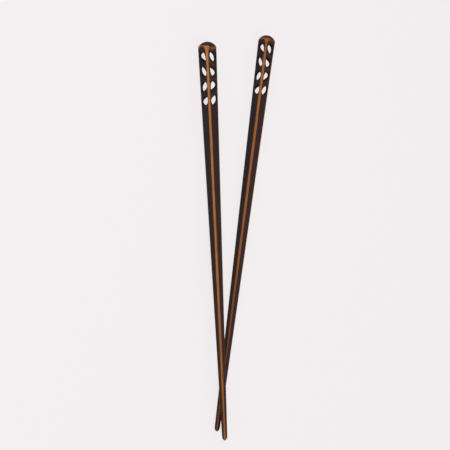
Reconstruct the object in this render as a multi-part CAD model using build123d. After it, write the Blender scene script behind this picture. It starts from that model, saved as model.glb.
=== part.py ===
import os
from math import atan, cos, degrees, radians, sqrt

from build123d import *

# All sizes in mm. A stick is made with its head at the origin, its axis along Y and its tip towards -Y.
stick_length = 230.0  # crown of the head to the end of the tip
lower_head = 7.25  # across opposite flats at the head
upper_head = 7.55  # the upper stick is a little stouter
tip_side = 2.7  # across opposite flats at the tip
edge_radius = 0.95  # the four long edges
crown_rise = 1.5  # dome of the head, above the ends of the flats
crown_edge = 0.8  # easing between the dome and the flats
nose_length = 3.0  # rounded end of the tip
nose_margin = 0.03  # nose over the long edges, where it starts

# Leaf windows: rows on every flat of the head, each leaf pierced straight through to the flat opposite.
lower_first_row = 7.4  # crown to the middle of the first row
upper_first_row = 7.95
row_pitch = 7.75
row_leans = (1, 1, -1, -1)  # the lower rows mirror the upper ones
row_turns = (0, 180, 0, 180)  # degrees: points towards the tip and towards the crown in turn
lower_slant = 25.0  # degrees between a leaf and the stick
upper_slant = 30.0
leaf_end = 0.15  # rounding of a leaf's point
post = 1.67  # side of the head to the round end of a leaf that stands upright
bar = 2.0  # mean of the wood between the rows

# How the pair lies: the lower stick on one of its flats, the upper one with its tip end across the lower.
spread = 12.3  # degrees between the sticks, seen from above
upper_overhang = 18.8  # crossing to the end of the upper tip
lower_overhang = 13.5  # crossing to the end of the lower tip
rest_gap = 0.02  # left open where the upper stick rests on the lower

edge = min(edge_radius, 0.46 * tip_side)  # a long edge never rounds the whole of a tip flat away


def corner_reach(side):
    return sqrt(2) * (side / 2 - edge) + edge


def blank(head_side):
    corners = (
        (-head_side / 2, 0),
        (head_side / 2, 0),
        (tip_side / 2, -stick_length),
        (-tip_side / 2, -stick_length),
    )
    slab = extrude(make_face(Polyline(*corners, close=True)), head_side, both=True)
    body = slab & Rot(Y=90) * slab
    long_edges = body.edges().filter_by(lambda each: each.length > stick_length / 2)
    return crowned(fillet(long_edges, edge), head_side) - tip_waste(head_side)


def crowned(body, head_side):
    # The dome is part of a ball that clears the long edges and goes on as a barrel round the stick.
    ball_radius = ((head_side / 2) ** 2 + crown_rise**2) / (2 * crown_rise)
    ball_radius = max(ball_radius, 1.04 * corner_reach(head_side))
    barrel = Cylinder(ball_radius, stick_length, align=(Align.CENTER, Align.CENTER, Align.MIN))
    body &= Pos(0, -ball_radius, 0) * (Sphere(ball_radius) + Rot(X=90) * barrel)
    return fillet(body.faces().filter_by(GeomType.SPHERE).edges(), min(crown_edge, 0.9 * edge))


def tip_waste(head_side):
    # What is cut away round half an ellipsoid to leave the rounded nose.
    start = stick_length - nose_length
    reach = corner_reach(head_side + (tip_side - head_side) * start / stick_length) + nose_margin
    outline = EllipticalCenterArc((0, -start), reach, nose_length, start_angle=270, arc_size=90)
    half = make_face(outline + Polyline(outline @ 1, (0, -start), outline @ 0))
    beyond = Cylinder(head_side, 2 * nose_length, align=(Align.CENTER, Align.CENTER, Align.MIN))
    return Pos(0, -start, 0) * Rot(X=90) * beyond - revolve(half, Axis.Y)


def windows(head_side, first_row, slant):
    # A leaf is a drop: half a circle that goes over into two arcs, which meet in a point.
    half_width = head_side / 2 - post
    point_reach = (row_pitch - bar - half_width) / cos(radians(slant))
    left, right, point = (-half_width, 0), (half_width, 0), (0, -point_reach)
    flanks = TangentArc(right, point, tangent=(0, -1)) + TangentArc(left, point, tangent=(0, -1))
    leaf = make_face(flanks + ThreePointArc(left, (0, half_width), right))
    leaf = fillet(leaf.vertices().sort_by(Axis.Y)[0], leaf_end)
    column = []
    for row, (lean, turn) in enumerate(zip(row_leans, row_turns)):
        turned = Rot(Z=lean * slant + turn) * leaf
        # Widest span to the middle of the flat, centre of area to the row.
        across, along = turned.bounding_box().center().X, turned.center(CenterOf.MASS).Y
        column.append(Pos(-across, -first_row - row * row_pitch - along) * turned)
    through = extrude(Sketch() + column, head_side, both=True)
    return through + Rot(Y=-90) * through


def laid(stick, head_side, tilt, turn, overhang):
    half_taper = degrees(atan((head_side - tip_side) / 2 / stick_length))
    posed = Rot(Z=turn) * Pos(0, stick_length - overhang, 0) * Rot(X=half_taper - tilt) * stick
    return Pos(0, 0, -posed.bounding_box().min.Z) * posed


def lower(stick):
    return laid(stick, lower_head, 0, -spread / 2, lower_overhang)


def upper(stick, tilt):
    return laid(stick, upper_head, tilt, spread / 2, upper_overhang)


def resting_tilt(lower_blank, upper_blank):
    support = lower(lower_blank)
    touching, clear = 0.0, degrees(atan(lower_head / (stick_length - upper_overhang)))
    while radians(clear - touching) * stick_length > rest_gap / 10:
        tilt = (touching + clear) / 2
        if upper(upper_blank, tilt).distance_to(support) < rest_gap:
            touching = tilt
        else:
            clear = tilt
    return clear


lower_blank, upper_blank = blank(lower_head), blank(upper_head)
upper_tilt = resting_tilt(lower_blank, upper_blank)
pair = {
    "lower_chopstick": lower(lower_blank - windows(lower_head, lower_first_row, lower_slant)),
    "upper_chopstick": upper(upper_blank - windows(upper_head, upper_first_row, upper_slant), upper_tilt),
}
box = Compound(list(pair.values())).bounding_box()
to_origin = Pos(-box.center().X, -box.center().Y, 0)

os.makedirs("parts", exist_ok=True)
for name, stick in pair.items():
    export_step(to_origin * stick, f"parts/{name}.step")
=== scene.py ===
import math

import bmesh
import bpy
import numpy as np
from mathutils import Matrix, Vector


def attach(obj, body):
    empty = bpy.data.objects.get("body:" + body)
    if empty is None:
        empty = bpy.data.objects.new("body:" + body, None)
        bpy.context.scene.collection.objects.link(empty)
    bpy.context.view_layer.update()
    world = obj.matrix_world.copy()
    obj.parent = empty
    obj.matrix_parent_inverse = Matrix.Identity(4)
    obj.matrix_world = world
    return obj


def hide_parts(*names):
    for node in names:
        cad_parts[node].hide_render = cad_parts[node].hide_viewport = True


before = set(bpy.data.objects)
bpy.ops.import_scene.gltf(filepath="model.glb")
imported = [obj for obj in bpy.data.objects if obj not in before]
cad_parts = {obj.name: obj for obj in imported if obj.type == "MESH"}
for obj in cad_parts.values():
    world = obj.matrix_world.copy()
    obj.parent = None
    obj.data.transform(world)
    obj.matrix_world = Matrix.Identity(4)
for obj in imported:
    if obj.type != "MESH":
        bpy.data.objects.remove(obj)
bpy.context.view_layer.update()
mm = 0.001

stickShape = {
    "length": 230.0 * mm,  # crown of the head to the end of the tip
    "tipSide": 2.7 * mm,  # across opposite flats
    "edgeRadius": 0.95 * mm,  # the four long edges
    "crownRise": 1.5 * mm,  # dome above the ends of the flats
    "crownEdge": 0.8 * mm,  # easing round the dome
    "noseLength": 3.0 * mm,  # rounded end of the tip
    "noseMargin": 0.03 * mm,  # nose over the long edges, where it starts
}
leafWindows = {
    "rowPitch": 7.75 * mm,
    "leans": (1, 1, -1, -1),  # the lower rows mirror the upper ones
    "points": (1, -1, 1, -1),  # towards the tip and towards the crown in turn
    "post": 1.67 * mm,  # side of the head to the round end of an upright leaf
    "bar": 2.0 * mm,  # mean of the wood between the rows
    "endRadius": 0.15 * mm,  # point of a leaf
    "rimEase": 0.1 * mm,  # knife-softened rim
}
pairLay = {"spread": 12.3}  # degrees between the sticks, from above
lowerStick = {
    "headSide": 7.25 * mm,
    "firstRow": 7.4 * mm,  # crown to the middle of the first row of windows
    "slant": 25.0,  # degrees between a leaf and the stick
    "overhang": 13.5 * mm,  # crossing to the tip end
    "turn": -0.5,  # share of the spread
    "tilt": 0.0,  # degrees, rising to the tip
    "edgeSlack": (0.15, 0.2, 0.5, 0.0),  # mm that each long edge is short of full wear
    "drift": (-0.1 * mm, -0.1 * mm),  # wear off the middle of an edge, at head and tip
    "flare": (-0.3 * mm, 12.0 * mm),  # change of the long edges' wear near the crown, and its reach
    "waist": (0.07 * mm, 8.0 * mm, 14.0 * mm),  # less wear near the tip: amount, way from the tip, reach
    "neckRub": 2.7 * mm,  # middle of the rubbed band below the crown, on top
    "barRub": (0.5, 0.45, 0.1),  # bare wood on the bars between the rows, on top
}
upperStick = {
    "headSide": 7.55 * mm,
    "firstRow": 7.95 * mm,
    "slant": 30.0,
    "overhang": 18.8 * mm,
    "turn": 0.5,
    "tilt": 0.88223,  # where it meets the lower stick
    "edgeSlack": (0.45, 0.2, 0.5, 0.0),
    "drift": (0.05 * mm, 0.2 * mm),
    "flare": (0.35 * mm, 6.0 * mm),
    "waist": (0.16 * mm, 20.0 * mm, 14.0 * mm),
    "neckRub": 3.4 * mm,
    "barRub": (0.8, 0.6, 0.15),
}
fineness = {
    "flat": 16,  # steps across a flat
    "edge": 8,  # round a long edge
    "neck": 5,  # from the first row of windows to the easing
    "easing": 6,
    "dome": 14,
    "seat": 8,  # rounds in which the seat of the easing settles
    "cell": 20,  # along a row of windows
    "ring": 6,  # from the edge of a cell to its window
    "rim": 3,  # over the rim of a window
    "wall": 8,  # down the wall of a window
    "outline": 4000,  # along each side of a leaf, when it is worked out
    "shaftStep": 1.5 * mm,
    "nose": 16,
}
meshFinish = {
    "weld": 0.001 * mm,  # points closer than this are one
    "sharpAngle": 40.0,  # degrees, from which an edge is shaded sharp
}
wearField = {
    "cornerBlend": 0.4 * mm,  # how far wear spreads where edges meet
    "crownDrop": 0.45 * mm,  # worn band below the edge of the dome
    "crownSlack": 0.38 * mm,  # how far that band is short of full wear
    "crownTop": 0.5 * mm,  # more of that on the upper flat
    "domeClimb": 0.9,  # wear running up the dome from a corner
    "knobPlace": 2.5 * mm,  # rubbed corner of the head, below the crown
    "knobShare": 0.65,
    "tipSlack": 0.1 * mm,
    "neckReach": 1.2 * mm,
    "barReach": 0.5 * mm,
    "barSlope": 0.78,  # streaks across the bars
    "wallFade": 2.0,  # wear lost on the way down a window's wall
}

edgeRadius = stickShape["edgeRadius"]
crownEdge = stickShape["crownEdge"]
length = stickShape["length"]
tangents = np.array([(1, 0), (0, -1), (-1, 0), (0, 1)])  # along each flat, in (x, z)
normals = np.array([(0, 1), (1, 0), (0, -1), (-1, 0)])  # out of each flat, in (x, z)


def facingUp(upward):
    # Share of the upward-facing side, from the upward part of the normal. It places the rubbed wear and the
    # painted warm light of the upper flat.
    return np.clip(upward, 0, 1) ** 2


def sectionRing():
    # Once round a rounded square: side number, share of the half flat, angle into the long edge.
    flat, edge = fineness["flat"], fineness["edge"]
    share = np.concatenate([np.linspace(-1, 1, flat + 1)[:-1], np.ones(edge)])
    angle = np.concatenate([np.zeros(flat), np.linspace(0, math.pi / 2, edge + 1)[:-1]])
    return np.repeat(np.arange(4), flat + edge), np.tile(share, 4), np.tile(angle, 4)


ringSide, ringShare, ringAngle = sectionRing()
ringNormal = (
    np.sin(ringAngle)[:, None] * tangents[ringSide] + np.cos(ringAngle)[:, None] * normals[ringSide]
)
ringTop = facingUp(ringNormal[:, 1])


def swing(start, end, share):
    # Unit vectors turned from start towards end through a share of the angle between them.
    angle = np.arccos(np.clip((start * end).sum(-1), -1, 1))[..., None]
    return (np.sin((1 - share) * angle) * start + np.sin(share * angle) * end) / np.sin(angle)


def softLeast(*distances):
    # Least of several distances, less again where two of them are small together.
    blend = wearField["cornerBlend"]
    return -blend * np.log(sum(np.exp(-distance / blend) for distance in distances))


def withAxis(xz, t):
    # Points of a section set at their place t along the stick.
    return np.stack([xz[..., 0], t + 0 * xz[..., 0], xz[..., 1]], -1)


def roundLeaf(down, up):
    # Down one side of a leaf and back up the other, with both ends once.
    return np.concatenate([down[:-1], up[:0:-1]])


class Stick:
    # Skin of one stick as (x, t, z) points, t from the crown to the tip, with its wear.
    def __init__(self, piece):
        self.halfHead = piece["headSide"] / 2
        self.halfTip = stickShape["tipSide"] / 2
        self.firstRow, self.slant = piece["firstRow"], math.radians(piece["slant"])
        self.beltStart = self.firstRow - leafWindows["rowPitch"] / 2
        self.beltEnd = self.beltStart + leafWindows["rowPitch"] * len(leafWindows["leans"])
        rise = stickShape["crownRise"]
        self.ballRadius = (self.halfHead**2 + rise**2) / (2 * rise)
        self.edgeSlack = np.array(piece["edgeSlack"]) * mm
        self.drift, self.flare, self.waist = piece["drift"], piece["flare"], piece["waist"]
        self.neckRub, self.barRub = piece["neckRub"], piece["barRub"]
        knobPlace = wearField["knobPlace"]
        knobAcross = math.sqrt((2 * self.ballRadius - knobPlace) * knobPlace / 2)
        self.knob = np.array([-knobAcross, knobPlace, knobAcross])
        self.points, self.faces, self.fields, self.count = [], [], [], 0
        self.addHead()
        self.addBelt()
        self.addShaft()
        self.local = np.concatenate(self.points) * np.array([1, -1, 1])

    def half(self, t):
        # Half the width across the flats, in a straight taper.
        return self.halfHead + (self.halfTip - self.halfHead) * t / length

    def section(self, t):
        # Flat half width times share along the flat, then the edge radius swung through its angle.
        flatHalf = self.half(t) - edgeRadius
        across = (flatHalf * ringShare)[..., None] * tangents[ringSide]
        return across + flatHalf[..., None] * normals[ringSide] + edgeRadius * ringNormal

    def ridge(self, side, along, t, angle=0.0):
        # Distance over the skin to the middle of the long edge ahead, behind or beyond, whichever is least,
        # changed by the flare near the crown and by the waist near the tip.
        flatHalf = self.half(t) - edgeRadius
        quarter = edgeRadius * math.pi / 4
        drift = self.drift[0] + (self.drift[1] - self.drift[0]) * t / length
        along = along + edgeRadius * angle - drift
        ahead = np.abs(quarter + flatHalf - along)
        behind = np.abs(quarter + flatHalf + along)
        beyond = 3 * quarter + 3 * flatHalf - along
        slack = self.edgeSlack
        least = np.minimum(ahead + slack[side], behind + slack[side - 1])
        least = np.minimum(least, beyond + slack[(side + 1) % 4])
        flare = self.flare[0] * np.exp(-((t / self.flare[1]) ** 2))
        waist = self.waist[0] * np.exp(-(((length - t - self.waist[1]) / self.waist[2]) ** 2))
        return least - flare + waist

    def ringRidge(self, t):
        return self.ridge(ringSide, ringShare * (self.half(t) - edgeRadius), t, ringAngle)

    def crown(self, below, top):
        # Distance from the worn band under the dome, with its slack.
        return np.abs(below - wearField["crownDrop"]) + wearField["crownSlack"] + wearField["crownTop"] * top

    def belowCrown(self, inner, sideways, t):
        # Way down the skin from the middle of the easing that a ball rolled round the dome leaves.
        reach = self.ballRadius - crownEdge
        seat = self.ballRadius - np.sqrt(reach**2 - (inner**2).sum(-1))
        turn = np.arccos((inner * sideways).sum(-1) / reach)
        return t - seat + crownEdge * turn / 2

    def add(self, grid, worn, rub, top, closed=True, pole=None):
        # A grid of points as quads, with its wear and its share of painted warm light, and a fan to the pole
        # where there is one.
        rows, columns = grid.shape[:2]
        index = self.count + np.arange(rows * columns).reshape(rows, columns)
        a, b = index[:-1], index[1:]
        if closed:
            quads = np.stack([a, np.roll(a, -1, 1), np.roll(b, -1, 1), b], -1)
        else:
            quads = np.stack([a[:, :-1], a[:, 1:], b[:, 1:], b[:, :-1]], -1)
        self.faces += quads.reshape(-1, 4).tolist()
        self.points.append(grid.reshape(-1, 3))
        knob = wearField["knobShare"] * np.linalg.norm(grid - self.knob, axis=-1)
        field = np.stack(np.broadcast_arrays(softLeast(worn, knob), rub, top), -1)
        self.fields.append(field.reshape(-1, 3))
        self.count += rows * columns
        if pole is not None:
            last = index[-1]
            centre = np.full_like(last, self.count)
            self.faces += np.stack([last, np.roll(last, -1), centre], -1).tolist()
            self.points.append(np.array(pole)[None])
            self.fields.append(field[-1].mean(0)[None])
            self.count += 1

    def rub(self, top, q, t):
        # Bands of rubbed wood on the upper flat: below the crown, and slantwise over the bars between rows.
        neck = np.exp(-(((t - self.neckRub) / wearField["neckReach"]) ** 2))
        bars = 0 * neck
        for row, weight in enumerate(self.barRub):
            middle = self.firstRow + (row + 0.5) * leafWindows["rowPitch"]
            lean = (leafWindows["leans"][row] + leafWindows["leans"][row + 1]) / 2
            away = (t - middle - lean * wearField["barSlope"] * q) / wearField["barReach"]
            bars = bars + weight * np.exp(-(away**2))
        return top * np.clip(neck + bars, 0, 1)

    def addHead(self):
        # Seat: where a ball rolled round the dome touches the flats and long edges.
        seat = np.full(len(ringSide), stickShape["crownRise"])
        for settling in range(fineness["seat"]):
            inner = self.section(seat) - crownEdge * ringNormal
            seat = self.ballRadius - np.sqrt((self.ballRadius - crownEdge) ** 2 - (inner**2).sum(-1))
        ball = withAxis(inner, seat)
        sideways = withAxis(ringNormal, 0.0)
        centre = np.array([0, self.ballRadius, 0])
        outward = (ball - centre) / (self.ballRadius - crownEdge)
        turn = np.arccos((sideways * outward).sum(-1))
        # Neck: section carried from the first row of windows to the easing.
        share = np.linspace(1, 0, fineness["neck"] + 1)[:, None]
        t = seat + (self.beltStart - seat) * share
        xz = self.section(t)
        band = self.crown(self.belowCrown(inner, ringNormal, t), ringTop)
        worn = softLeast(self.ringRidge(t), band)
        self.add(withAxis(xz, t), worn, self.rub(ringTop, xz[..., 0], t), ringTop)
        # Easing: ball centre plus its radius swung from the flat's normal to the dome's.
        share = np.linspace(0, 1, fineness["easing"] + 1)[:, None, None]
        easing = ball + crownEdge * swing(sideways, outward, share)
        ridge = self.ringRidge(seat)
        worn = softLeast(ridge, self.crown(crownEdge * turn * (0.5 - share[..., 0]), ringTop))
        self.add(easing, worn, self.rub(ringTop, easing[..., 0], easing[..., 1]), ringTop)
        # Dome: ball radius swung from the easing up to the crown.
        up = np.broadcast_to(np.array([0.0, -1.0, 0.0]), outward.shape)
        fall = np.arccos((outward * up).sum(-1))
        share = np.linspace(0, 1, fineness["dome"] + 1)[:-1, None, None]
        dome = centre + self.ballRadius * swing(outward, up, share)
        away = crownEdge * turn / 2 + self.ballRadius * fall * share[..., 0]
        worn = softLeast(ridge + wearField["domeClimb"] * away, self.crown(-away, ringTop))
        self.add(dome, worn, 0, 0, pole=(0, 0, 0))

    def addShaft(self):
        # Shaft: section carried from the last row of windows to the nose.
        noseLength = stickShape["noseLength"]
        noseStart = length - noseLength
        steps = int((noseStart - self.beltEnd) / fineness["shaftStep"])
        t = np.linspace(self.beltEnd, noseStart, steps + 1)[:, None]
        self.add(withAxis(self.section(t), t), self.ringRidge(t), 0, ringTop)
        # Nose: the section, or the half ellipse turned about the axis where that is the smaller.
        turn = np.linspace(0, math.pi / 2, fineness["nose"] + 1)[:-1, None]
        t = noseStart + noseLength * np.sin(turn)
        xz = self.section(t)
        corner = math.sqrt(2) * (self.half(noseStart) - edgeRadius) + edgeRadius
        nose = (corner + stickShape["noseMargin"]) * np.sqrt(1 - ((t - noseStart) / noseLength) ** 2)
        xz = xz * np.minimum(1, nose / np.linalg.norm(xz, axis=-1))[..., None]
        worn = softLeast(self.ringRidge(t), length - t + wearField["tipSlack"])
        self.add(withAxis(xz, t), worn, 0, ringTop, pole=(0, length, 0))

    def leafOutline(self, lean, point):
        # Drop of half a circle and two arcs that meet in a rounded point, turned by its slant and centred.
        # Gives, at matching places t along the stick, the low and high side of the outline and the angle
        # of its outward normal there.
        halfWidth = self.halfHead - leafWindows["post"]
        leafLength = leafWindows["rowPitch"] - leafWindows["bar"] - halfWidth
        pointReach = leafLength / math.cos(self.slant)
        arc = (pointReach**2 + halfWidth**2) / (2 * halfWidth)
        offset = arc - halfWidth
        end = leafWindows["endRadius"]
        reach = math.sqrt((arc - end) ** 2 - offset**2)
        tilted = lean * self.slant

        def outline(heading):
            across, along = np.cos(heading + tilted), point * np.sin(heading + tilted)
            onArc = along * (arc - end) <= reach
            lateral = np.where(onArc, (arc - end) * across - offset * np.sign(across), 0) + end * across
            axial = np.where(onArc, (arc - end) * along, reach) + end * along
            lateral = np.where(along < 0, halfWidth * across, lateral)
            axial = point * np.where(along < 0, halfWidth * along, axial)
            p = lateral * math.cos(tilted) + axial * math.sin(tilted)
            return p, axial * math.cos(tilted) - lateral * math.sin(tilted)

        places = fineness["outline"] + 1
        high = np.linspace(-math.pi / 2, math.pi / 2, places)
        low = np.linspace(1.5 * math.pi, math.pi / 2, places)
        pHigh, tHigh = outline(high)
        pLow, tLow = outline(low)
        # Widest span to the middle of the flat, centre of area to the row.
        pMiddle = (pHigh.max() + pLow.min()) / 2
        t = np.linspace(tHigh[0], tHigh[-1], places)
        width = np.interp(t, tHigh, pHigh) - np.interp(t, tLow, pLow)
        tMiddle = (t * width).sum() / width.sum()
        pHigh, pLow, tHigh, tLow = pHigh - pMiddle, pLow - pMiddle, tHigh - tMiddle, tLow - tMiddle
        share = (1 - np.cos(np.linspace(0, math.pi, fineness["flat"] + fineness["cell"] + 1))) / 2
        t = tHigh[0] + (tHigh[-1] - tHigh[0]) * share
        return {
            "t": t,
            "low": np.interp(t, tLow, pLow),
            "high": np.interp(t, tHigh, pHigh),
            "lowNormal": np.interp(t, tLow, low),
            "highNormal": np.interp(t, tHigh, high),
        }

    def addBelt(self):
        # Each side, which way the leaf lies on it, and the side of the crossing leaf that its walls reach.
        sides = ((0, 1, "high"), (1, -1, "high"), (2, -1, "low"), (3, 1, "low"))
        self.addLongEdges()
        for row, (lean, point) in enumerate(zip(leafWindows["leans"], leafWindows["points"])):
            leaf = self.leafOutline(lean, point)
            middle = self.firstRow + row * leafWindows["rowPitch"]
            for side, sign, meets in sides:
                self.addWindow(leaf, middle, side, sign, meets)

    def addLongEdges(self):
        # Long edges between the windowed flats: end of a flat plus the edge radius swung through its angle.
        rows = len(leafWindows["leans"])
        t = np.linspace(self.beltStart, self.beltEnd, rows * fineness["cell"] + 1)[:, None]
        angle = np.linspace(0, math.pi / 2, fineness["edge"] + 1)
        flatHalf = self.half(t) - edgeRadius
        turned = np.stack([np.sin(angle), np.cos(angle)], -1)
        inner = self.halfHead - edgeRadius + (edgeRadius - crownEdge) * turned
        below = self.belowCrown(inner, turned, t)
        q = flatHalf + edgeRadius * np.sin(angle)
        height = flatHalf + edgeRadius * np.cos(angle)
        for side in range(4):
            xz = q[..., None] * tangents[side] + height[..., None] * normals[side]
            outward = turned @ np.array([tangents[side], normals[side]])
            top = facingUp(outward[:, 1])
            worn = softLeast(self.ridge(side, flatHalf, t, angle), self.crown(below, top))
            self.add(withAxis(xz, t), worn, self.rub(top, xz[..., 0], t), top, closed=False)

    def cellEdge(self, begin, end, shift):
        # Once round a window's stretch of the flat, started above the leaf's upper point.
        flat, cell = fineness["flat"], fineness["cell"]
        start = 2 * shift / flat
        share = np.concatenate([
            np.linspace(start, 1, flat // 2 - shift + 1)[:-1],
            np.ones(cell),
            np.linspace(1, -start, flat // 2 + shift + 1)[:-1],
            np.linspace(-start, -1, flat // 2 - shift + 1)[:-1],
            -np.ones(cell),
            np.linspace(-1, start, flat // 2 + shift + 1)[:-1],
        ])
        t = np.concatenate([
            np.full(flat // 2 - shift, begin),
            np.linspace(begin, end, cell + 1)[:-1],
            np.full(flat, end),
            np.linspace(end, begin, cell + 1)[:-1],
            np.full(flat // 2 + shift, begin),
        ])
        return share * (self.half(t) - edgeRadius), t

    def addWindow(self, leaf, middle, side, sign, meets):
        # Rings from the cell's edge to the leaf, over the eased rim and down the wall to the crossing hole,
        # which has the same outline, so its edge lies at that outline's own low or high side.
        ease, pitch = leafWindows["rimEase"], leafWindows["rowPitch"]
        begin, end = middle - pitch / 2, middle + pitch / 2
        right, left = ("high", "low") if sign > 0 else ("low", "high")
        qRing = sign * roundLeaf(leaf[right], leaf[left])
        tRing = middle + roundLeaf(leaf["t"], leaf["t"])
        heading = roundLeaf(leaf[right + "Normal"], leaf[left + "Normal"])
        qOut, tOut = sign * np.cos(heading), np.sin(heading)
        stop = leaf[meets] if meets == "high" else -leaf[meets]
        stopRing = roundLeaf(stop, stop)
        lean = sign * leaf["high"][0] / (self.half(begin) - edgeRadius)
        edgeQ, edgeT = self.cellEdge(begin, end, int(round(lean * fineness["flat"] / 2)))
        share = np.linspace(0, 1, fineness["ring"] + 1)[:, None]
        ringQ = edgeQ + (qRing + ease * qOut - edgeQ) * share
        ringT = edgeT + (tRing + ease * tOut - edgeT) * share
        curl = np.linspace(math.pi / 2, 0, fineness["rim"] + 1)[1:, None]
        curlQ = qRing + ease * (1 - np.cos(curl)) * qOut
        curlT = tRing + ease * (1 - np.cos(curl)) * tOut
        curlHeight = self.half(curlT) - ease * (1 - np.sin(curl))
        share = np.linspace(0, 1, fineness["wall"] + 1)[1:, None]
        wallHeight = curlHeight[-1] + (stopRing - curlHeight[-1]) * share
        q = np.concatenate([ringQ, curlQ, qRing + 0 * share])
        t = np.concatenate([ringT, curlT, tRing + 0 * share])
        height = np.concatenate([self.half(ringT), curlHeight, wallHeight])
        depth = self.half(t) - height
        inner = np.stack([q, np.full_like(q, self.halfHead - crownEdge)], -1)
        band = self.crown(self.belowCrown(inner, np.array([0, 1]), t), side == 0)
        worn = softLeast(self.ridge(side, q, t), band) + wearField["wallFade"] * depth
        top = (side == 0) * np.exp(-depth / ease)
        xz = q[..., None] * tangents[side] + height[..., None] * normals[side]
        self.add(withAxis(xz, t), worn, self.rub(top, q, t), top)

    def placed(self, piece):
        # Tipped about X, laid with its crossing over the origin, turned about Z and let down onto the floor.
        halfTaper = math.degrees(math.atan((self.halfHead - self.halfTip) / length))
        spin = Matrix.Rotation(math.radians(piece["turn"] * pairLay["spread"]), 3, "Z")
        tip = Matrix.Rotation(math.radians(halfTaper - piece["tilt"]), 3, "X")
        laid = self.local @ np.array(tip).T + np.array([0, length - piece["overhang"], 0])
        laid = laid @ np.array(spin).T
        return laid - np.array([0, 0, laid[:, 2].min()])

    def mesh(self, name, points):
        # Closed mesh with its wear, its share of painted warm light and each point's own place on the stick,
        # faces turned outwards.
        made = bpy.data.meshes.new(name)
        made.from_pydata(points.tolist(), [], self.faces)
        fields = np.concatenate(self.fields).astype("f")
        for column, field in enumerate(("wornDistance", "rubbed", "paintedWarmSide")):
            values = made.attributes.new(field, "FLOAT", "POINT").data
            values.foreach_set("value", fields[:, column].copy())
        place = made.attributes.new("stickPlace", "FLOAT_VECTOR", "POINT")
        place.data.foreach_set("vector", self.local.ravel().astype("f"))
        work = bmesh.new()
        work.from_mesh(made)
        bmesh.ops.remove_doubles(work, verts=work.verts, dist=meshFinish["weld"])
        bmesh.ops.recalc_face_normals(work, faces=work.faces)
        work.to_mesh(made)
        openEdges = sum(not edge.is_manifold for edge in work.edges)
        volume = round(work.calc_volume() / mm**3, 1)
        print(name, "faces", len(work.faces), "open edges", openEdges, "volume mm3", volume)
        work.free()
        made.shade_smooth()
        made.set_sharp_from_angle(angle=math.radians(meshFinish["sharpAngle"]))
        return made


def buildPair():
    # Both sticks where they lie, with the middle of the pair's box over the origin.
    lower, upper = Stick(lowerStick), Stick(upperStick)
    lowerPoints, upperPoints = lower.placed(lowerStick), upper.placed(upperStick)
    both = np.concatenate([lowerPoints, upperPoints])
    middle = (both.min(0) + both.max(0)) / 2 * np.array([1, 1, 0])
    print("middle mm", (middle / mm).round(4), "box mm", ((both.max(0) - both.min(0)) / mm).round(3))
    return {
        "lowerStick": lower.mesh("lowerStick", lowerPoints - middle),
        "upperStick": upper.mesh("upperStick", upperPoints - middle),
    }


stainedWood = {
    "stainDeep": (0.0155, 0.0104, 0.0110, 1),  # charcoal stain on the flats
    "stainThin": (0.022, 0.0125, 0.012, 1),  # where the grain holds less of it
    "streakRange": (0.38, 0.72),  # streaks from deep to thin stain
    "paintedWarmLight": (0.0265, 0.0094, 0.0074, 1),  # painted warm light: a redder stain on the upward-facing flat, standing in for warmer light falling on that side
    "paintedWarmShare": 0.8,
    "stainFibre": (0.06, 0.03, 0.022, 1),  # pale fibres
    "fibreRange": (0.5, 0.75),
    "fibreShare": 0.35,
    "stainPore": (0.004, 0.003, 0.003, 1),  # open pores, filled with stain
    "poreShare": 0.75,
    "barePore": (0.1, 0.034, 0.012, 1),
    "barePoreShare": 0.55,
    "halfWorn": (0.088, 0.024, 0.0085, 1),
    "halfRange": (0.02, 0.5),  # bareness from stain to half-worn wood
    "bareRange": (0.35, 0.95),  # bareness from half-worn to bare wood
    "toneStart": 0.2 * length,  # from the crown to where bare wood starts to turn to its tone at the tip
    "figureRange": (0.3, 0.7),  # fibres that darken the bare wood
    "figureShare": 0.35,
    "poreRange": (0.6, 0.7),
    "fibreHeight": 0.4,  # fibres against pores
    "bump": 0.35,
    "bumpDepth": 0.05 * mm,
    "roughStained": 0.5,
    "roughBare": 0.62,
    "roughPore": 0.12,  # more in the pores
    "shine": 0.1,
}
upperLook = {
    "bareHead": (0.455, 0.184, 0.06, 1),  # sanded wood along the edges
    "bareTip": (0.35, 0.112, 0.024, 1),
    "stripe": (0.7 * mm, 0.68 * mm),  # half width of the bare edge over the skin, at head and tip
    "dull": (0.22, 8.0 * mm),  # share of half-worn wood in the bare edge at the crown, and its reach
}
lowerLook = {
    "bareHead": (0.385, 0.138, 0.042, 1),
    "bareTip": (0.19, 0.054, 0.0125, 1),
    "stripe": (0.76 * mm, 0.44 * mm),
    "dull": (0.35, 24.0 * mm),
}
wearEdge = {
    "soft": 0.3 * mm,
    "ragged": 0.5 * mm,
    "fringe": 1.1 * mm,  # thinned stain beside the bare wood
    "fringeShare": 0.4,
    "fleckRange": (0.3, 0.58),  # rubbed wood shows in flecks
    "fleckShare": 0.8,
}
woodNoise = {  # turns in a metre along x, y and z of the stick, then detail and roughness
    "streak": ((620, 17, 620), 5.0, 0.6),
    "fibre": ((3600, 80, 3600), 3.0, 0.55),
    "pore": ((2300, 130, 2300), 2.0, 0.55),
    "ragged": ((700, 110, 700), 4.0, 0.6),
    "fleck": ((1100, 420, 1100), 3.0, 0.6),
}


def newGroup(name, inputs, outputs):
    group = bpy.data.node_groups.new(name, "ShaderNodeTree")
    for label in inputs:
        kind = "NodeSocketVector" if label == "Place" else "NodeSocketFloat"
        group.interface.new_socket(label, in_out="INPUT", socket_type=kind)
    for label in outputs:
        group.interface.new_socket(label, in_out="OUTPUT", socket_type="NodeSocketFloat")
    return group, group.nodes.new("NodeGroupInput"), group.nodes.new("NodeGroupOutput")


def feed(tree, socket, value):
    # Links a socket to another one, or sets it to a plain value.
    if isinstance(value, bpy.types.NodeSocket):
        tree.links.new(value, socket)
    else:
        socket.default_value = value


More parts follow.
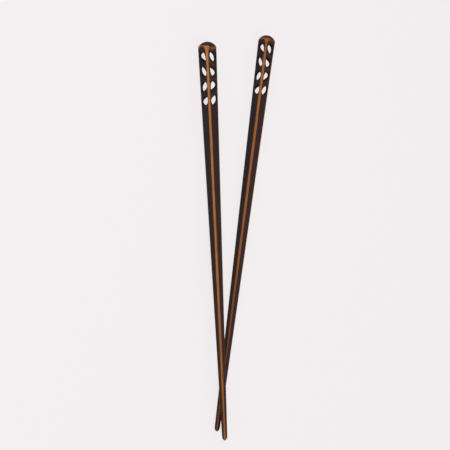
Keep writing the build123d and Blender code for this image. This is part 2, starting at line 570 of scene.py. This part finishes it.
def calc(tree, operation, a, b=0.0):
    made = tree.nodes.new("ShaderNodeMath")
    made.operation = operation
    feed(tree, made.inputs[0], a)
    feed(tree, made.inputs[1], b)
    return made.outputs[0]


def smooth(tree, value, low, high, first=0.0, last=1.0):
    # From first to last, in a soft step, as the value goes from low to high.
    made = tree.nodes.new("ShaderNodeMapRange")
    made.interpolation_type = "SMOOTHSTEP"
    given = {"Value": value, "From Min": low, "From Max": high, "To Min": first, "To Max": last}
    for label, part in given.items():
        feed(tree, made.inputs[label], part)
    return made.outputs["Result"]


def stretchedNoise(tree, place, perMetre, detail, roughness):
    scaled = tree.nodes.new("ShaderNodeVectorMath")
    scaled.operation = "MULTIPLY"
    feed(tree, scaled.inputs[0], place)
    scaled.inputs[1].default_value = perMetre
    made = tree.nodes.new("ShaderNodeTexNoise")
    feed(tree, made.inputs["Vector"], scaled.outputs[0])
    made.inputs["Scale"].default_value = 1.0
    made.inputs["Detail"].default_value = detail
    made.inputs["Roughness"].default_value = roughness
    return made.outputs["Fac"]


def mixColour(tree, share, a, b):
    made = tree.nodes.new("ShaderNodeMix")
    made.data_type = "RGBA"
    feed(tree, made.inputs["Factor"], share)
    feed(tree, made.inputs[6], a)  # colour sockets A and B
    feed(tree, made.inputs[7], b)
    return made.outputs[2]


def attribute(tree, name, output):
    made = tree.nodes.new("ShaderNodeAttribute")
    made.attribute_name = name
    return made.outputs[output]


def grainGroup():
    # Grain drawn out along the stick: broad streaks, fine fibres and open pores.
    tree, given, out = newGroup("woodGrain", ["Place"], ["Streak", "Fibre", "Pore", "Height"])
    place = given.outputs["Place"]
    fibre = stretchedNoise(tree, place, *woodNoise["fibre"])
    pore = smooth(tree, stretchedNoise(tree, place, *woodNoise["pore"]), *stainedWood["poreRange"])
    raised = calc(tree, "MULTIPLY", fibre, stainedWood["fibreHeight"])
    feed(tree, out.inputs["Streak"], stretchedNoise(tree, place, *woodNoise["streak"]))
    feed(tree, out.inputs["Fibre"], fibre)
    feed(tree, out.inputs["Pore"], pore)
    feed(tree, out.inputs["Height"], calc(tree, "SUBTRACT", raised, pore))
    return tree


def wearGroup():
    # Bare wood within a ragged distance of the worn edges, and in flecks where the wood is rubbed. The
    # stain thins towards it.
    inputs = ["Place", "Worn", "Rubbed", "Stripe", "Soft", "Ragged", "Fringe"]
    tree, given, out = newGroup("edgeWear", inputs, ["Bare", "Thin"])
    g = given.outputs
    noise = calc(tree, "SUBTRACT", stretchedNoise(tree, g["Place"], *woodNoise["ragged"]), 0.5)
    away = calc(tree, "ADD", g["Worn"], calc(tree, "MULTIPLY", noise, g["Ragged"]))
    low = calc(tree, "SUBTRACT", g["Stripe"], g["Soft"])
    high = calc(tree, "ADD", g["Stripe"], g["Soft"])
    edge = smooth(tree, away, low, high, 1.0, 0.0)
    fleck = smooth(tree, stretchedNoise(tree, g["Place"], *woodNoise["fleck"]), *wearEdge["fleckRange"])
    rubbed = calc(tree, "MULTIPLY", calc(tree, "MULTIPLY", g["Rubbed"], fleck), wearEdge["fleckShare"])
    feed(tree, out.inputs["Bare"], calc(tree, "MAXIMUM", edge, rubbed))
    far = calc(tree, "ADD", g["Stripe"], g["Fringe"])
    feed(tree, out.inputs["Thin"], smooth(tree, away, low, far, 1.0, 0.0))
    return tree


grain, wear = grainGroup(), wearGroup()


def stickWood(name, look):
    # Stain, with painted warm light on the upward-facing flat, then half-worn wood and bare wood, one over
    # the other by the wear, with grain in tone and bump.
    material = bpy.data.materials.new(name)
    material.use_nodes = True
    tree = material.node_tree
    wood = tree.nodes["Principled BSDF"]
    place = attribute(tree, "stickPlace", "Vector")
    grained = tree.nodes.new("ShaderNodeGroup")
    grained.node_tree = grain
    feed(tree, grained.inputs["Place"], place)
    split = tree.nodes.new("ShaderNodeSeparateXYZ")
    feed(tree, split.inputs[0], place)
    fromCrown = calc(tree, "MULTIPLY", split.outputs["Y"], -1)
    along = smooth(tree, fromCrown, stainedWood["toneStart"], length)
    worn = tree.nodes.new("ShaderNodeGroup")
    worn.node_tree = wear
    for label, value in (
        ("Place", place),
        ("Worn", attribute(tree, "wornDistance", "Fac")),
        ("Rubbed", attribute(tree, "rubbed", "Fac")),
        ("Stripe", smooth(tree, along, 0.0, 1.0, *look["stripe"])),
        ("Soft", wearEdge["soft"]),
        ("Ragged", wearEdge["ragged"]),
        ("Fringe", wearEdge["fringe"]),
    ):
        feed(tree, worn.inputs[label], value)
    bare = worn.outputs["Bare"]
    fibre, pore = grained.outputs["Fibre"], grained.outputs["Pore"]
    streak = smooth(tree, grained.outputs["Streak"], *stainedWood["streakRange"])
    stain = mixColour(tree, streak, stainedWood["stainDeep"], stainedWood["stainThin"])
    # Painted warm light: the upward-facing flat gets a redder stain, standing in for warmer light on that
    # side.
    top = calc(tree, "MULTIPLY", attribute(tree, "paintedWarmSide", "Fac"), stainedWood["paintedWarmShare"])
    stain = mixColour(tree, top, stain, stainedWood["paintedWarmLight"])
    pale = smooth(tree, fibre, *stainedWood["fibreRange"], 0.0, stainedWood["fibreShare"])
    stain = mixColour(tree, pale, stain, stainedWood["stainFibre"])
    stainPore = calc(tree, "MULTIPLY", pore, stainedWood["poreShare"])
    stain = mixColour(tree, stainPore, stain, stainedWood["stainPore"])
    plain = mixColour(tree, along, look["bareHead"], look["bareTip"])
    figure = smooth(tree, fibre, *stainedWood["figureRange"], 0.0, stainedWood["figureShare"])
    dullShare, dullReach = look["dull"]
    dull = smooth(tree, fromCrown, 0.0, dullReach, dullShare, 0.0)
    plain = mixColour(tree, calc(tree, "MAXIMUM", figure, dull), plain, stainedWood["halfWorn"])
    barePore = calc(tree, "MULTIPLY", pore, stainedWood["barePoreShare"])
    plain = mixColour(tree, barePore, plain, stainedWood["barePore"])
    thin = calc(tree, "MULTIPLY", worn.outputs["Thin"], wearEdge["fringeShare"])
    half = calc(tree, "MAXIMUM", thin, smooth(tree, bare, *stainedWood["halfRange"]))
    edge = mixColour(tree, half, stain, stainedWood["halfWorn"])
    colour = mixColour(tree, smooth(tree, bare, *stainedWood["bareRange"]), edge, plain)
    feed(tree, wood.inputs["Base Color"], colour)
    rough = smooth(tree, bare, 0.0, 1.0, stainedWood["roughStained"], stainedWood["roughBare"])
    rougher = calc(tree, "MULTIPLY", pore, stainedWood["roughPore"])
    feed(tree, wood.inputs["Roughness"], calc(tree, "ADD", rough, rougher))
    wood.inputs["Specular IOR Level"].default_value = stainedWood["shine"]
    bump = tree.nodes.new("ShaderNodeBump")
    bump.inputs["Strength"].default_value = stainedWood["bump"]
    bump.inputs["Distance"].default_value = stainedWood["bumpDepth"]
    feed(tree, bump.inputs["Height"], grained.outputs["Height"])
    feed(tree, wood.inputs["Normal"], bump.outputs["Normal"])
    return material


meshes = buildPair()
print("sticks built")
for name, node, look in (
    ("lowerStick", "lower_chopstick", lowerLook),
    ("upperStick", "upper_chopstick", upperLook),
):
    piece = bpy.data.objects.new(name, meshes[name])
    piece.data.materials.append(stickWood(name + "Wood", look))
    bpy.context.scene.collection.objects.link(piece)
    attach(piece, "root")
    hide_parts(node)
print("sticks finished")

studio = {
    "paper": (0.913, 0.880, 0.888, 1),  # pale floor and backdrop
    "paperRough": 0.9,
    "shadowShare": 0.14,  # how much of the floor's own shading the camera sees
    "fill": 0.55,  # level of the even light all round
    "floorSide": 10.0,  # metres, so that low views don't reach its edge
}
softboxes = {
    "key": {"place": (-0.85, 0.3, 0.75), "side": 0.7, "watts": 6.0},
    "counter": {"place": (0.7, -0.2, 0.7), "side": 0.6, "watts": 1.0},
}
view = {
    "target": Vector((-0.503, 10.418, 0.0)) * mm,
    "distance": 560.0 * mm,
    "elevation": 45.38,  # degrees
    "azimuth": 13.75,  # degrees from -X towards the heads
    "roll": 2.327,  # degrees
    "lens": 79.20,  # mm on a 36 mm frame
    "near": 10.0 * mm,  # nearest that the camera sees
}


def paleRays(tree):
    # Camera, glossy and transmission rays see the pale paper itself.
    path = tree.nodes.new("ShaderNodeLightPath")
    seen = calc(tree, "MAXIMUM", path.outputs["Is Camera Ray"], path.outputs["Is Glossy Ray"])
    return calc(tree, "MAXIMUM", seen, path.outputs["Is Transmission Ray"])


def makeFloor():
    half = studio["floorSide"] / 2
    corners = [(-half, -half, 0), (half, -half, 0), (half, half, 0), (-half, half, 0)]
    mesh = bpy.data.meshes.new("paperFloor")
    mesh.from_pydata(corners, [], [(0, 1, 2, 3)])
    material = bpy.data.materials.new("palePaper")
    material.use_nodes = True
    tree = material.node_tree
    paper = tree.nodes["Principled BSDF"]
    paper.inputs["Base Color"].default_value = studio["paper"]
    paper.inputs["Roughness"].default_value = studio["paperRough"]
    paper.inputs["Specular IOR Level"].default_value = 0.0
    glow = tree.nodes.new("ShaderNodeEmission")
    glow.inputs["Color"].default_value = studio["paper"]
    blend = tree.nodes.new("ShaderNodeMixShader")
    feed(tree, blend.inputs[0], calc(tree, "MULTIPLY", paleRays(tree), 1 - studio["shadowShare"]))
    feed(tree, blend.inputs[1], paper.outputs[0])
    feed(tree, blend.inputs[2], glow.outputs[0])
    feed(tree, tree.nodes["Material Output"].inputs["Surface"], blend.outputs[0])
    mesh.materials.append(material)
    floor = bpy.data.objects.new("paperFloor", mesh)
    bpy.context.scene.collection.objects.link(floor)


def makeLight():
    # Even light all round, and two softboxes turned to the middle of the pair.
    world = bpy.data.worlds.new("studio")
    world.use_nodes = True
    tree = world.node_tree
    sky = tree.nodes["Background"]
    share = paleRays(tree)
    feed(tree, sky.inputs["Color"], mixColour(tree, share, (1, 1, 1, 1), studio["paper"]))
    feed(tree, sky.inputs["Strength"], calc(tree, "MAXIMUM", share, studio["fill"]))
    bpy.context.scene.world = world
    for name, box in softboxes.items():
        lamp = bpy.data.lights.new(name, "AREA")
        lamp.size = box["side"]
        lamp.energy = box["watts"]
        holder = bpy.data.objects.new(name, lamp)
        holder.location = box["place"]
        holder.rotation_euler = (-Vector(box["place"])).to_track_quat("-Z", "Y").to_euler()
        bpy.context.scene.collection.objects.link(holder)


def makeCamera():
    # Looks down along a line given by azimuth and elevation, with the heads (+Y) up in the picture.
    rise, around = math.radians(view["elevation"]), math.radians(view["azimuth"])
    level = Vector((-math.cos(around), math.sin(around), 0))
    back = math.cos(rise) * level + Vector((0, 0, math.sin(rise)))
    right = (-back).cross(Vector((0, 1, 0))).normalized()
    turn = Matrix((right, back.cross(right), back)).transposed()
    camera = bpy.data.cameras.new("camera")
    camera.lens = view["lens"]
    camera.clip_start = view["near"]
    holder = bpy.data.objects.new("camera", camera)
    place = Matrix.Translation(view["target"] + view["distance"] * back)
    roll = Matrix.Rotation(math.radians(view["roll"]), 4, "Z")
    holder.matrix_world = place @ turn.to_4x4() @ roll
    bpy.context.scene.collection.objects.link(holder)
    bpy.context.scene.camera = holder


makeFloor()
makeLight()
makeCamera()
bpy.context.scene.view_settings.view_transform = "Standard"
print("stage ready")
